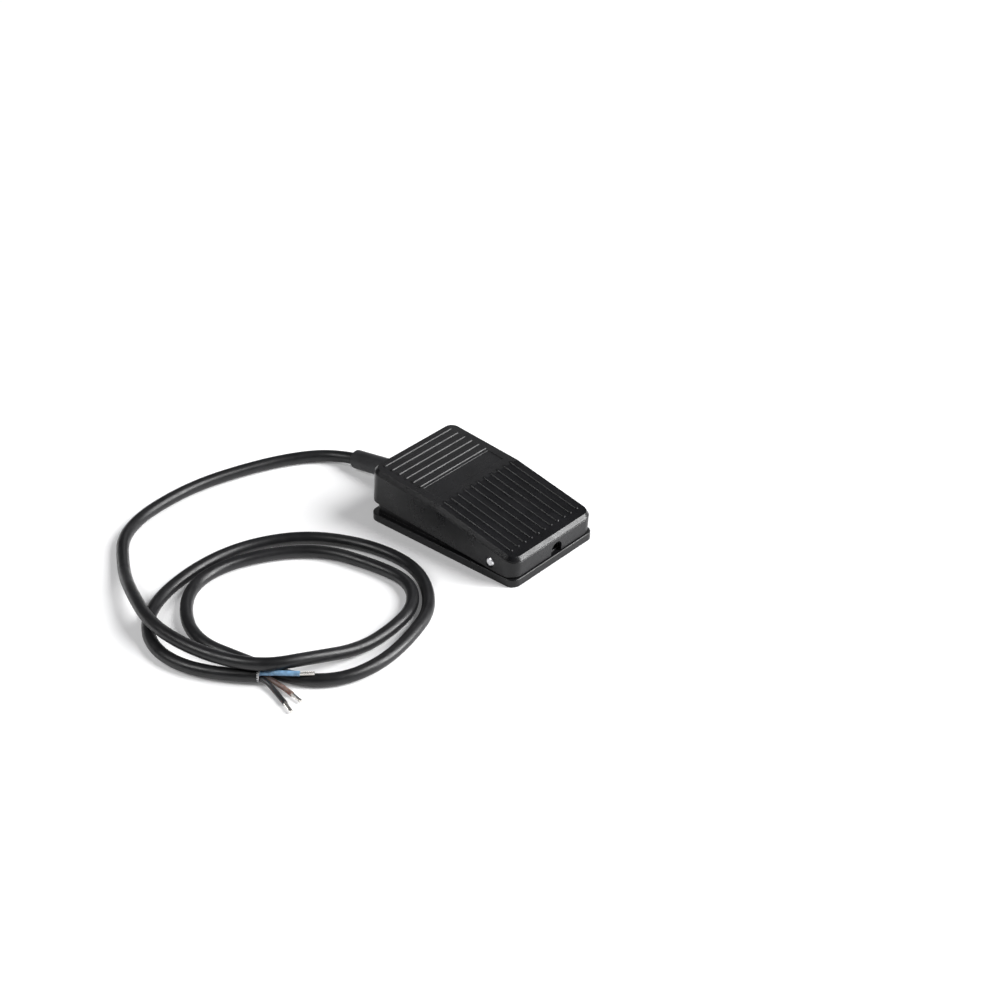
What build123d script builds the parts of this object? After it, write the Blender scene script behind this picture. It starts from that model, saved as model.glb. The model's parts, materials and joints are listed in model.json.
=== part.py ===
"""Foot switch: a tilting plastic pedal over a moulded base, with a microswitch inside and a lead.

X runs across the switch, Y along it from the pivot end (-Y) to the cord end (+Y), Z is up.
The origin is at the middle of the base, at floor level. Millimetres.
The pedal is drawn pressed flat, in its own level frame, and then tilted up to its rest position.
"""

import os
from math import cos, pi, radians, sin, tan

from build123d import *

os.makedirs("parts", exist_ok=True)

# Base tray
LENGTH = 100.0
WIDTH = 64.0
CORNER_RADIUS = 5.0
FOOT_STANDOFF = 0.3  # how far the rubber feet lift the tray off the floor
FLANGE_TOP = 4.55  # top of the outer rim, above the floor
FLOOR_WALL = 2.2
UPSTAND_WALL = 2.0
UPSTAND_CORNER = 3.0
UPSTAND_LOW = 11.6  # inner wall height at the pivot end
UPSTAND_HIGH = 15.6  # inner wall height at the cord end
RIM_BREAK = 0.3  # chamfer on the rim's top edge

# Pedal shell
PEDAL_INSET = 0.55  # set back from the rim at the sides and the pivot end
PEDAL_OVERHANG = 0.35  # beyond the rim at the cord end
PEDAL_CORNER = 6.2
PEDAL_WALL = 2.0
PEDAL_TOP_WALL = 2.4
RIDGE_Y = LENGTH / 2 - 47.9  # the line where the top bends down
RIDGE_HEIGHT = 24.75
REAR_SLOPE = 0.9  # degrees, top of the ribbed heel plate
FRONT_SLOPE = 7.9  # degrees, top of the sloping toe plate
SKIRT_BOTTOM = 5.35
EDGE_DOWN = 2.2  # chamfer round the top, measured down the side
EDGE_IN = 1.6  # and in across the top
CREASE_HEIGHT = 0.4  # shadow line under the chamfer
CREASE_DEPTH = 0.25
REST_TILT = 4.5  # degrees the pedal stands up from flat
TAIL_GAP = 0.3  # skirt above the rim behind the pivot, at rest
SKIRT_PLAY = 0.55  # between the skirt and the base's inner wall
END_PLAY = 0.35  # more at the ends, where the skirt swings

# Pivot
PIVOT_Y = 16.35 - LENGTH / 2
PIVOT_Z = 9.35
PIN_DIAMETER = 4.5
PIN_RUNNING_FIT = 0.06  # radial, in the pedal
PIN_TIGHT_FIT = 0.03  # radial, in the base's boss
PIN_RECESS = 0.15  # pin end below the skirt face
PIN_BREAK = 0.4
PIN_HOLE_SINK = 0.5  # countersink round the pin's hole
BOSS_DIAMETER = 9.6
BOSS_LENGTH = 6.0

# Ribs on the pedal
RIB_WIDTH = 1.9
RIB_HEIGHT = 0.55
RIB_BREAK = 0.3
CROSS_RIBS = 6
CROSS_RIB_PITCH = 4.95
CROSS_RIB_LENGTH = WIDTH - 12
CROSS_RIB_FIRST = LENGTH / 2 - 29.1  # y of the rib nearest the ridge
LONG_RIBS = 11
LONG_RIB_PITCH = 5.12
LONG_RIB_START = 6.7 - LENGTH / 2
LONG_RIB_END = RIDGE_Y + 1.8
PANEL_START = RIDGE_Y + 5.5  # shallow blank panel between the two rib fields
PANEL_END = CROSS_RIB_FIRST - 2.5
PANEL_WIDTH = WIDTH - 14
PANEL_DEPTH = 0.3

# Webs under the tread plate
WEB_X = 21.0
WEB_THICKNESS = 1.6
WEB_DEPTH = 3.0
WEB_END_GAP = 5.4  # between a web's end and the skirt's end

# Cord openings
CORD_DIAMETER = 6.5
CORD_CLEARANCE = 0.05
EXIT_HEIGHT = 12.0  # cord axis where it passes the base's end wall
SLOT_WIDTH = 8.2
SPARE_EXIT_X = 2.2  # second outlet, at the pivot end
SPARE_EXIT_WIDTH = 8.0
SPARE_EXIT_TOP = 12.85
SPARE_EXIT_SILL = 5.2  # foot of the opening in the base's end wall
SADDLE_RISE = 5.8  # end wall above the cord axis, round the exit
SADDLE_WIDTH = 17.0

# Strain relief boot
COLLAR_DIAMETER = 12.0
COLLAR_LENGTH = 2.0
NECK_PLAY = 0.15
SHOULDER_LENGTH = 2.0
SHOULDER_GAP = 0.1  # between the boot's shoulder and the wall
BOOT_ROOT_DIAMETER = 11.0
BOOT_TIP_DIAMETER = 10.4
BOOT_LENGTH = 43.5
BOOT_BREAK = 1.2
BOOT_NOTCH_PLAY = 0.8

# Cord clamp
CLAMP_Y = LENGTH / 2 - 13
CLAMP_LENGTH = 8.0
CLAMP_WIDTH = 19.0
CLAMP_GAP = 0.6  # left between the bar and the saddle, so that it can bite
CLAMP_ROOF = 1.6
CLAMP_SCREW_PITCH = 13.0
CLAMP_BREAK = 0.8

# Screws
SCREW_DIAMETER = 2.9
SCREW_HEAD_DIAMETER = 5.0
SCREW_HEAD_HEIGHT = 1.9
SCREW_LENGTH = 9.0
SCREW_CLEARANCE = 0.2
PILOT_FIT = 0.02
PILOT_SPARE = 0.5  # pilot hole deeper than the screw
HEAD_ROUNDING = 0.45  # of the head's height
TIP_TAPER = 0.3  # of the shank's diameter
RECESS_SPAN = 0.6  # of the head's diameter
RECESS_WIDTH = 0.16
SWITCH_SCREW_DIAMETER = 2.2
SWITCH_SCREW_HEAD = 3.8
SWITCH_SCREW_HEAD_HEIGHT = 1.4

# Return spring
SPRING_Y = CLAMP_Y - 27
SPRING_DIAMETER = 8.0
SPRING_WIRE = 0.9
SPRING_TURNS = 8
SPRING_SIDES = 8  # the wire is drawn with flats, to keep its mesh light
SPRING_SEAT = 4.6
SPRING_POST_DIAMETER = 5.4
SPRING_POST_LENGTH = 3.0
SPRING_GAP = 0.3
SPRING_SEAT_MARGIN = 1.0
UPPER_POST_PLAY = 0.5  # radial, between the pedal's post and the spring

# Microswitch, on edge beside the spring
SWITCH_X = -13.0
SWITCH_START = CLAMP_Y - 36  # y of its end nearest the pivot
SWITCH_LENGTH = 19.8
SWITCH_THICKNESS = 6.4
SWITCH_HEIGHT = 10.2
SWITCH_BOTTOM = 9.4
SWITCH_COVER = 2.2  # thickness of the lid half
SWITCH_HOLE_PITCH = 9.5
SWITCH_HOLE_HEIGHT = 3.0
BRACKET_WALL = 2.8
BRACKET_OVERLAP = 0.5
GUSSET_REACH = 4.0
GUSSET_THICKNESS = 1.6
GUSSET_DROP = 3.0  # gusset's top below the bracket's top
SWITCH_BREAK = 0.5
PLUNGER_FROM_HINGE = 6.0
PLUNGER_WIDTH = 2.4
PLUNGER_LENGTH = 3.4
PLUNGER_GAP = 0.3  # under the lever, at rest
PLUNGER_FIT = 0.1
PLUNGER_POCKET = 4.0
PLUNGER_BREAK = 0.4
LEVER_THICKNESS = 0.5
LEVER_WIDTH = 3.6
LEVER_PIVOT_INSET = 1.4
LEVER_EYE_DIAMETER = 2.0
LEVER_REST = 9.5  # degrees above level
LEVER_CLEARANCE = 0.1
AXLE_DIAMETER = 1.0
AXLE_FIT = 0.05
LUG_WIDTH = 3.0
PUSHER_INSET = 1.6  # pusher centre from the lever's free end
PUSHER_WIDTH = 2.4
PUSHER_GAP = 0.55  # above the lever, at the pusher's middle
TERMINAL_WIDTH = 3.2
TERMINAL_THICKNESS = 0.5
TERMINAL_DROP = 4.6
TERMINAL_PITCH = 7.6
SOLDER_HEIGHT = 7.0
SOLDER_DIAMETER = 1.8
SOLDER_LENGTH = 0.9

# Feet
FOOT_DIAMETER = 10.0
FOOT_RECESS = 1.0
FOOT_X = WIDTH / 2 - 10
FOOT_Y = LENGTH / 2 - 10
FOOT_FIT = 0.1
FOOT_BREAK = 0.2

# Cores of the cord
CORE_DIAMETER = 2.5
CORE_PITCH_RADIUS = 1.47  # three cores round the cord's axis
STRAND_DIAMETER = 1.2
LEAD_BARE = 1.4  # stripped length at a terminal
LEAD_IN = 3.75  # straight run of a core into its terminal
CORE_OUT = 3.0  # straight run of a core out of the jacket
FREE_BARE = 7.0  # stripped length at the cord's cut end

# The cord's route from the clamp inside the switch to its cut end. It leaves level, droops to the
# floor, sweeps round and over its own last two turns, and ends beside the coil.
CORD_ROUTE = [
    (0, CLAMP_Y - 7, EXIT_HEIGHT), (0, CLAMP_Y + 11, EXIT_HEIGHT),
    (0, 72, 8.7), (0, 96, 4.6), (-10, 114, 3.3), (-37, 129, 3.3),
    (-79, 141, 3.3), (-127, 136, 3.3), (-152, 106, 3.3), (-167, 80, 10.1), (-178, 54, 10.1),
    (-179, 31, 10.1), (-175, 8, 10.1), (-165, -12, 10.1), (-147, -23, 9.9), (-120, -28, 3.3),
    (-96, -28, 3.3), (-77, -23, 3.3), (-64, -9, 3.3), (-61, 12, 3.3), (-74, 47, 3.3), (-110, 72, 3.3),
    (-143, 70, 3.3), (-168, 38, 3.3), (-162, 2, 3.3), (-157, -24, 3.3), (-143, -40, 3.3),
    (-122, -45, 3.3), (-100, -42, 3.3), (-73, -33, 3.3), (-52, -4, 3.3), (-54, 33, 3.3),
    (-73, 65, 3.3), (-111, 82, 3.3), (-161, 75, 3.3), (-186, 48, 3.3), (-184, 12, 3.3), (-167, -9.5, 3.3),
]

# Points that the loose cores pass at the cord's cut end.
FREE_CORES = {
    "blue": [(-164.9, -14.6, 6.6), (-162.6, -20.6, 8.2), (-156.4, -26.4, 8.0)],
    "black": [(-166.9, -14.5, 1.8), (-167.9, -22.5, 1.5), (-170.8, -31.0, 1.5)],
    "brown": [(-163.6, -13.0, 2.0), (-162.9, -20.0, 1.5), (-164.0, -28.6, 1.5)],
}

# Points that the cores pass inside the switch on their way to the terminals, with y from the clamp.
INNER_CORES = {
    "blue": [(-4.4, -16.5, 11.0)],
    "black": [(-1.2, -14.5, 7.4), (-6.7, -25.0, 4.0), (-6.9, -29.0, 4.0)],
    "brown": [(-5.0, -13.0, 8.8)],
}
TERMINAL_OF_CORE = {"black": 0, "blue": 1, "brown": 2}

# Drawing aids
TOP_REACH = LENGTH  # taller and wider than anything, for cutting blocks
CUT = 1.0  # how far a cut runs past the face that it opens
JOIN = 0.5  # how far a feature is sunk into the body that it grows from
TOUCH = 0.05  # nearer than this counts as on the line
BEND_SHARE = 0.45  # of the shorter run beside a bend, taken up by the bend
FROM_FOOT = (Align.CENTER, Align.CENTER, Align.MIN)  # a turned body that starts at its plane

# Derived sizes
TRAY_BOTTOM = FOOT_STANDOFF
FLOOR_TOP = TRAY_BOTTOM + FLOOR_WALL
PEDAL_WIDTH = WIDTH - 2 * PEDAL_INSET
PEDAL_FRONT = -LENGTH / 2 + PEDAL_INSET
PEDAL_REAR = LENGTH / 2 + PEDAL_OVERHANG
PIN_RADIUS = PIN_DIAMETER / 2
CORD_RADIUS = CORD_DIAMETER / 2
UPSTAND_WIDTH = PEDAL_WIDTH - 2 * (PEDAL_WALL + SKIRT_PLAY)
UPSTAND_FRONT = PEDAL_FRONT + PEDAL_WALL + SKIRT_PLAY + END_PLAY
UPSTAND_REAR = PEDAL_REAR - PEDAL_WALL - SKIRT_PLAY - END_PLAY
SWITCH_TOP = SWITCH_BOTTOM + SWITCH_HEIGHT
SWITCH_END = SWITCH_START + SWITCH_LENGTH
LEVER_PIVOT_Y = SWITCH_END - LEVER_PIVOT_INSET
LEVER_PIVOT_Z = SWITCH_TOP + LEVER_EYE_DIAMETER / 2 + LEVER_CLEARANCE
LEVER_LENGTH = LEVER_PIVOT_Y - SWITCH_START
PIVOT_AXIS = Axis((0, PIVOT_Y, PIVOT_Z), (1, 0, 0))


def block(x0, x1, y0, y1, z0, z1):
    """Box between two corners."""
    return Pos((x0 + x1) / 2, (y0 + y1) / 2, (z0 + z1) / 2) * Box(x1 - x0, y1 - y0, z1 - z0)


def rod_x(y, z, radius, x0, x1):
    """Cylinder along X."""
    return Pos((x0 + x1) / 2, y, z) * Rot(0, 90, 0) * Cylinder(radius, x1 - x0)


def rod_y(x, z, radius, y0, y1):
    """Cylinder along Y."""
    return Pos(x, (y0 + y1) / 2, z) * Rot(90, 0, 0) * Cylinder(radius, y1 - y0)


def post(x, y, radius, z0, z1):
    """Cylinder along Z."""
    return Pos(x, y, (z0 + z1) / 2) * Cylinder(radius, z1 - z0)


def rounded_block(width, y0, y1, radius, z0, z1):
    """Upright block with rounded vertical corners, centred on X."""
    outline = RectangleRounded(width, y1 - y0, radius)
    return Pos(0, (y0 + y1) / 2, z0) * extrude(outline, z1 - z0)


def side_profile(points, width):
    """Outline in the YZ plane, extruded across the switch."""
    return extrude(Plane.YZ * Polygon(*points, align=None), width / 2, both=True)


def arch_y(x, width, z0, z1, y0, y1):
    """Opening with a half-round head, cut along Y."""
    spring_line = z1 - width / 2
    opening = block(x - width / 2, x + width / 2, y0, y1, z0, spring_line)
    return opening + rod_y(x, spring_line, width / 2, y0, y1)


def slot_y(x, width, z0, y0, y1):
    """Slot with a half-round foot, open at the top, cut along Y."""
    centre = z0 + width / 2
    opening = block(x - width / 2, x + width / 2, y0, y1, centre, TOP_REACH)
    return opening + rod_y(x, centre, width / 2, y0, y1)


def tilt_to_rest(part):
    """Turn a piece of the pedal from pressed flat to its rest position."""
    return part.rotate(PIVOT_AXIS, REST_TILT)


def rest_height(y, z):
    """Height at rest of a point of the pedal, and its place along Y."""
    turn = radians(REST_TILT)
    dy, dz = y - PIVOT_Y, z - PIVOT_Z
    return PIVOT_Z + dy * sin(turn) + dz * cos(turn), PIVOT_Y + dy * cos(turn) - dz * sin(turn)


def top_height(y):
    """Height of the pedal's top in its level frame."""
    slope = REAR_SLOPE if y > RIDGE_Y else FRONT_SLOPE
    return RIDGE_HEIGHT + (y - RIDGE_Y) * tan(radians(slope))


def top_plane(y):
    """Work plane on the pedal's top."""
    slope = REAR_SLOPE if y > RIDGE_Y else FRONT_SLOPE
    return Plane((0, y, top_height(y)), x_dir=(1, 0, 0), z_dir=(0, -sin(radians(slope)), cos(radians(slope))))


def pedal_form(inset, drop, bottom):
    """The pedal's outer form, or its cavity: a rounded block under the bent top."""
    plan = rounded_block(
        PEDAL_WIDTH - 2 * inset, PEDAL_FRONT + inset, PEDAL_REAR - inset,
        PEDAL_CORNER - inset, bottom, TOP_REACH,
    )
    top = [(y, top_height(y) - drop) for y in (LENGTH, RIDGE_Y, -LENGTH)]
    profile = side_profile([(-LENGTH, bottom), (LENGTH, bottom), *top], 2 * WIDTH)
    return plan & profile


def chamfer_top(body):
    """Chamfer the rim of the bent top, along its straight sides and round its corners."""
    middles = [(edge, edge @ 0.5) for edge in body.edges()]
    rim = [
        edge for edge, middle in middles
        if abs(middle.Z - top_height(middle.Y)) < TOUCH and abs(middle.Y - RIDGE_Y) > TOUCH
    ]
    return chamfer(rim, EDGE_DOWN, EDGE_IN)


def crease():
    """Shadow line round the skirt, just under the chamfer."""
    ring = rounded_block(
        2 * PEDAL_WIDTH, 2 * PEDAL_FRONT, 2 * PEDAL_REAR, PEDAL_CORNER, 0, TOP_REACH
    ) - rounded_block(
        PEDAL_WIDTH - 2 * CREASE_DEPTH, PEDAL_FRONT + CREASE_DEPTH, PEDAL_REAR - CREASE_DEPTH,
        PEDAL_CORNER - CREASE_DEPTH, 0, TOP_REACH,
    )
    ends = (LENGTH, RIDGE_Y, -LENGTH)
    upper = [(y, top_height(y) - EDGE_DOWN) for y in ends]
    lower = [(y, z - CREASE_HEIGHT) for y, z in reversed(upper)]
    return ring & side_profile(upper + lower, 2 * WIDTH)


def tread_ribs():
    """Raised ribs: a row across the heel plate and a row along the toe plate."""
    ribs = []
    for index in range(CROSS_RIBS):
        plane = top_plane(CROSS_RIB_FIRST + index * CROSS_RIB_PITCH)
        ribs.append(plane * rib(CROSS_RIB_LENGTH, 0))
    long_middle = (LONG_RIB_START + LONG_RIB_END) / 2
    long_plane = top_plane(min(long_middle, RIDGE_Y))
    for index in range(LONG_RIBS):
        x = (index - (LONG_RIBS - 1) / 2) * LONG_RIB_PITCH
        ribs.append(long_plane * Pos(x, 0, 0) * rib(LONG_RIB_END - LONG_RIB_START, 90))
    return ribs


def rib(length, angle):
    """One rib with round ends and a broken edge, sunk into the plate that it grows from."""
    body = extrude(SlotOverall(length, RIB_WIDTH, rotation=angle), RIB_HEIGHT)
    body = chamfer(body.faces().sort_by(Axis.Z)[-1].edges(), RIB_BREAK)
    root = extrude(SlotOverall(length, RIB_WIDTH, rotation=angle), -PEDAL_TOP_WALL / 2)
    return body + root


def pedal():
    """Moulded pedal: tread plate, skirt, pin holes, pusher, spring post and cord openings."""
    body = chamfer_top(pedal_form(0, 0, SKIRT_BOTTOM))
    body -= pedal_form(PEDAL_WALL, PEDAL_TOP_WALL, SKIRT_BOTTOM - CUT)
    body -= crease()
    panel_middle = (PANEL_START + PANEL_END) / 2
    body -= top_plane(panel_middle) * Box(PANEL_WIDTH, PANEL_END - PANEL_START, 2 * PANEL_DEPTH)
    for one in tread_ribs():
        body += one
    body += inner_webs() + spring_post_above() + pusher()
    body -= rod_x(PIVOT_Y, PIVOT_Z, PIN_RADIUS + PIN_RUNNING_FIT, -WIDTH, WIDTH)
    for side in (-1, 1):
        sink = Cone(PIN_RADIUS + PIN_RUNNING_FIT, PIN_RADIUS + 2 * PIN_HOLE_SINK, PIN_HOLE_SINK)
        body -= Pos(side * (PEDAL_WIDTH - PIN_HOLE_SINK) / 2, PIVOT_Y, PIVOT_Z) * Rot(0, side * 90, 0) * sink
    body -= arch_y(
        SPARE_EXIT_X, SPARE_EXIT_WIDTH, 0, SPARE_EXIT_TOP, PEDAL_FRONT - CUT, PEDAL_FRONT + PEDAL_WALL + CUT
    )
    notch_radius = BOOT_ROOT_DIAMETER / 2 + BOOT_NOTCH_PLAY
    body -= arch_y(
        0, 2 * notch_radius, 0, EXIT_HEIGHT + notch_radius, PEDAL_REAR - PEDAL_WALL - CUT, PEDAL_REAR + CUT
    )
    body = tilt_to_rest(body)
    return body - block(-WIDTH, WIDTH, -LENGTH, RIDGE_Y, 0, FLANGE_TOP + TAIL_GAP)


def inner_webs():
    """Two stiffening webs under the tread plate."""
    depth = pedal_form(PEDAL_WALL, PEDAL_TOP_WALL / 2, 0)
    depth -= pedal_form(PEDAL_WALL, PEDAL_TOP_WALL + WEB_DEPTH, 0)
    y0, y1 = PEDAL_FRONT + WEB_END_GAP, PEDAL_REAR - WEB_END_GAP
    webs = Part()
    for x in (-WEB_X, WEB_X):
        webs += depth & block(x - WEB_THICKNESS / 2, x + WEB_THICKNESS / 2, y0, y1, 0, TOP_REACH)
    return webs


def spring_post_above():
    """Post under the tread plate that holds the spring's upper end."""
    top = top_height(SPRING_Y) - PEDAL_TOP_WALL
    offset = (RIDGE_HEIGHT - PIVOT_Z) * sin(radians(REST_TILT))
    radius = SPRING_DIAMETER / 2 - SPRING_WIRE - UPPER_POST_PLAY
    return post(0, SPRING_Y + offset, radius, top - SPRING_POST_LENGTH, top + JOIN)


def lever_contact():
    """Place of the pusher's lower face: y along the lever, and height of the lever's top there."""
    along = LEVER_LENGTH - PUSHER_INSET
    y = LEVER_PIVOT_Y - along
    z = LEVER_PIVOT_Z + along * tan(radians(LEVER_REST)) + LEVER_THICKNESS
    return y, z


def pusher():
    """Short post under the tread plate that presses the microswitch's lever."""
    y, lever_top = lever_contact()
    turn = radians(REST_TILT)
    dy, dz = y - PIVOT_Y, lever_top + PUSHER_GAP - PIVOT_Z
    level_y = PIVOT_Y + dy * cos(turn) + dz * sin(turn)
    level_z = PIVOT_Z - dy * sin(turn) + dz * cos(turn)
    top = top_height(level_y) - PEDAL_TOP_WALL / 2
    half = PUSHER_WIDTH / 2
    return block(SWITCH_X - half, SWITCH_X + half, level_y - half, level_y + half, level_z, top)


def base():
    """Moulded tray: rim, inner wall, pivot bosses, switch bracket, spring seat and cord saddle."""
    body = rounded_block(WIDTH, -LENGTH / 2, LENGTH / 2, CORNER_RADIUS, TRAY_BOTTOM, FLANGE_TOP)
    body = chamfer(body.faces().sort_by(Axis.Z)[-1].edges(), RIM_BREAK)
    body += upstand()
    body -= rounded_block(
        UPSTAND_WIDTH - 2 * UPSTAND_WALL, UPSTAND_FRONT + UPSTAND_WALL, UPSTAND_REAR - UPSTAND_WALL,
        UPSTAND_CORNER - UPSTAND_WALL / 2, FLOOR_TOP, TOP_REACH,
    )
    body += block(
        -SADDLE_WIDTH / 2, SADDLE_WIDTH / 2, UPSTAND_REAR - UPSTAND_WALL, UPSTAND_REAR,
        FLOOR_TOP, EXIT_HEIGHT + SADDLE_RISE,
    )
    body += pivot_bosses() + cord_saddle() + switch_bracket() + spring_seat()
    slot_foot = EXIT_HEIGHT - SLOT_WIDTH / 2
    body -= slot_y(0, SLOT_WIDTH, slot_foot, UPSTAND_REAR - UPSTAND_WALL - CUT, UPSTAND_REAR + CUT)
    body -= block(
        SPARE_EXIT_X - SPARE_EXIT_WIDTH / 2, SPARE_EXIT_X + SPARE_EXIT_WIDTH / 2,
        UPSTAND_FRONT - CUT, UPSTAND_FRONT + UPSTAND_WALL + CUT, SPARE_EXIT_SILL, TOP_REACH,
    )
    body -= rod_x(PIVOT_Y, PIVOT_Z, PIN_RADIUS + PIN_TIGHT_FIT, -WIDTH, WIDTH)
    for x in (-FOOT_X, FOOT_X):
        for y in (-FOOT_Y, FOOT_Y):
            body -= post(x, y, FOOT_DIAMETER / 2 + FOOT_FIT, 0, TRAY_BOTTOM + FOOT_RECESS)
    return body


def upstand():
    """Inner wall of the tray as a solid block, higher towards the cord end."""
    plan = rounded_block(UPSTAND_WIDTH, UPSTAND_FRONT, UPSTAND_REAR, UPSTAND_CORNER, TRAY_BOTTOM, TOP_REACH)
    top = [(UPSTAND_REAR, UPSTAND_HIGH), (UPSTAND_FRONT, UPSTAND_LOW)]
    return plan & side_profile([(UPSTAND_FRONT, 0), (UPSTAND_REAR, 0), *top], WIDTH)


def pivot_bosses():
    """Two bosses that carry the hinge pin, each on a web from the floor."""
    outer = UPSTAND_WIDTH / 2
    bosses = Part()
    for side in (-1, 1):
        x0, x1 = sorted((side * outer, side * (outer - BOSS_LENGTH)))
        bosses += rod_x(PIVOT_Y, PIVOT_Z, BOSS_DIAMETER / 2, x0, x1)
        bosses += block(x0, x1, PIVOT_Y - BOSS_DIAMETER / 2, PIVOT_Y + BOSS_DIAMETER / 2, TRAY_BOTTOM, PIVOT_Z)
    return bosses


def cord_saddle():
    """Block under the cord, with a channel that fits it and pilot holes for the clamp's screws."""
    y0, y1 = CLAMP_Y - CLAMP_LENGTH / 2, CLAMP_Y + CLAMP_LENGTH / 2
    top = EXIT_HEIGHT - CLAMP_GAP / 2
    block_under = block(-CLAMP_WIDTH / 2, CLAMP_WIDTH / 2, y0, y1, TRAY_BOTTOM, top)
    block_under -= rod_y(0, EXIT_HEIGHT, CORD_RADIUS + CORD_CLEARANCE, y0 - CUT, y1 + CUT)
    pilot_end = clamp_top() - SCREW_LENGTH - PILOT_SPARE
    for side in (-1, 1):
        x = side * CLAMP_SCREW_PITCH / 2
        block_under -= post(x, CLAMP_Y, SCREW_DIAMETER / 2 + PILOT_FIT, pilot_end, top + CUT)
    return block_under


def clamp_top():
    """Upper face of the clamp bar."""
    return EXIT_HEIGHT + CORD_RADIUS + CLAMP_ROOF


def cord_clamp():
    """Bar over the cord, held by two screws."""
    y0, y1 = CLAMP_Y - CLAMP_LENGTH / 2, CLAMP_Y + CLAMP_LENGTH / 2
    bar = block(-CLAMP_WIDTH / 2, CLAMP_WIDTH / 2, y0, y1, EXIT_HEIGHT + CLAMP_GAP / 2, clamp_top())
    bar = chamfer(bar.edges().filter_by(Axis.Y).group_by(Axis.Z)[-1], CLAMP_BREAK)
    bar -= rod_y(0, EXIT_HEIGHT, CORD_RADIUS + CORD_CLEARANCE, y0 - CUT, y1 + CUT)
    for side in (-1, 1):
        bar -= post(side * CLAMP_SCREW_PITCH / 2, CLAMP_Y, SCREW_DIAMETER / 2 + SCREW_CLEARANCE, 0, TOP_REACH)
    return bar


def screw(diameter, head_diameter, head_height, length):
    """Pan-head screw along Z with a cross recess; the seat is at zero and the shank points down."""
    head = Pos(0, 0, head_height / 2) * Cylinder(head_diameter / 2, head_height)
    head = fillet(head.edges().group_by(Axis.Z)[-1], head_height * HEAD_ROUNDING)
    shank = Pos(0, 0, -length / 2) * Cylinder(diameter / 2, length)
    shank = chamfer(shank.edges().group_by(Axis.Z)[0], diameter * TIP_TAPER)
    body = head + shank
    recess = Box(head_diameter * RECESS_SPAN, head_diameter * RECESS_WIDTH, head_height)
    for angle in (0, 90):
        body -= Pos(0, 0, head_height) * Rot(0, 0, angle) * recess
    return body


def clamp_screws():
    """The clamp bar's two screws."""
    one = screw(SCREW_DIAMETER, SCREW_HEAD_DIAMETER, SCREW_HEAD_HEIGHT, SCREW_LENGTH)
    return [Pos(side * CLAMP_SCREW_PITCH / 2, CLAMP_Y, clamp_top()) * one for side in (-1, 1)]


def switch_holes():
    """Y and Z of the microswitch's two mounting holes."""
    middle = (SWITCH_START + SWITCH_END) / 2
    return [(middle + side * SWITCH_HOLE_PITCH / 2, SWITCH_BOTTOM + SWITCH_HOLE_HEIGHT) for side in (-1, 1)]


def switch_bracket():
    """Wall on the tray's floor that the microswitch is screwed to."""
    x1 = SWITCH_X - SWITCH_THICKNESS / 2
    top = SWITCH_BOTTOM + 2 * SWITCH_HOLE_HEIGHT + BRACKET_OVERLAP
    wall = block(x1 - BRACKET_WALL, x1, SWITCH_START, SWITCH_END, TRAY_BOTTOM, top)
    back = x1 - BRACKET_WALL
    for y in (SWITCH_START + GUSSET_THICKNESS / 2, SWITCH_END - GUSSET_THICKNESS / 2):
        gusset = Plane.XZ.offset(-y) * Polygon(
            (back, TRAY_BOTTOM), (back - GUSSET_REACH, TRAY_BOTTOM), (back, top - GUSSET_DROP), align=None
        )
        wall += extrude(gusset, GUSSET_THICKNESS / 2, both=True)
    for y, z in switch_holes():
        wall -= rod_x(y, z, SWITCH_SCREW_DIAMETER / 2 + PILOT_FIT, back - GUSSET_REACH, x1 + CUT)
    return wall


def spring_seat():
    """Round seat on the tray's floor with a post inside the spring."""
    seat = post(0, SPRING_Y, SPRING_DIAMETER / 2 + SPRING_SEAT_MARGIN, TRAY_BOTTOM, SPRING_SEAT)
    return seat + post(0, SPRING_Y, SPRING_POST_DIAMETER / 2, SPRING_SEAT, SPRING_SEAT + SPRING_POST_LENGTH)


def return_spring():
    """Compression spring with closed ends ground flat."""
    underside, _ = rest_height(SPRING_Y, top_height(SPRING_Y) - PEDAL_TOP_WALL)
    lean = (SPRING_DIAMETER / 2) * tan(radians(REST_TILT + REAR_SLOPE))
    top = underside - lean - SPRING_GAP
    height = top - SPRING_SEAT
    radius = (SPRING_DIAMETER - SPRING_WIRE) / 2
    path = Helix(pitch=(height - SPRING_WIRE) / SPRING_TURNS, height=height - SPRING_WIRE, radius=radius)
    wire = RegularPolygon(SPRING_WIRE / 2, SPRING_SIDES)
    section = Plane(origin=path @ 0, z_dir=path % 0) * wire
    spring = Pos(0, SPRING_Y, SPRING_SEAT + SPRING_WIRE / 2) * sweep(section, path=path, is_frenet=True)
    ring = revolve(Plane.XZ * Pos(radius, 0) * wire, Axis.Z)
    for z in (SPRING_SEAT + SPRING_WIRE / 2, top - SPRING_WIRE / 2):
        spring += Pos(0, SPRING_Y, z) * ring
    return spring


def hinge_pin(side):
    """Steel stub pin through one skirt into its boss, with broken edges."""
    outer = PEDAL_WIDTH / 2 - PIN_RECESS
    inner = UPSTAND_WIDTH / 2 - BOSS_LENGTH
    x0, x1 = sorted((side * outer, side * inner))
    pin = rod_x(PIVOT_Y, PIVOT_Z, PIN_RADIUS, x0, x1)
    return chamfer(pin.edges().filter_by(GeomType.CIRCLE), PIN_BREAK)


def switch_case():
    """Moulded half of the microswitch that holds the terminals and one lug of the lever."""
    x0 = SWITCH_X - SWITCH_THICKNESS / 2
    return switch_half(x0, x0 + SWITCH_THICKNESS - SWITCH_COVER, x0)


def switch_cover():
    """Lid half of the microswitch, with the lever's other lug."""
    x1 = SWITCH_X + SWITCH_THICKNESS / 2
    return switch_half(x1 - SWITCH_COVER, x1, x1 - lug_thickness())


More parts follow.
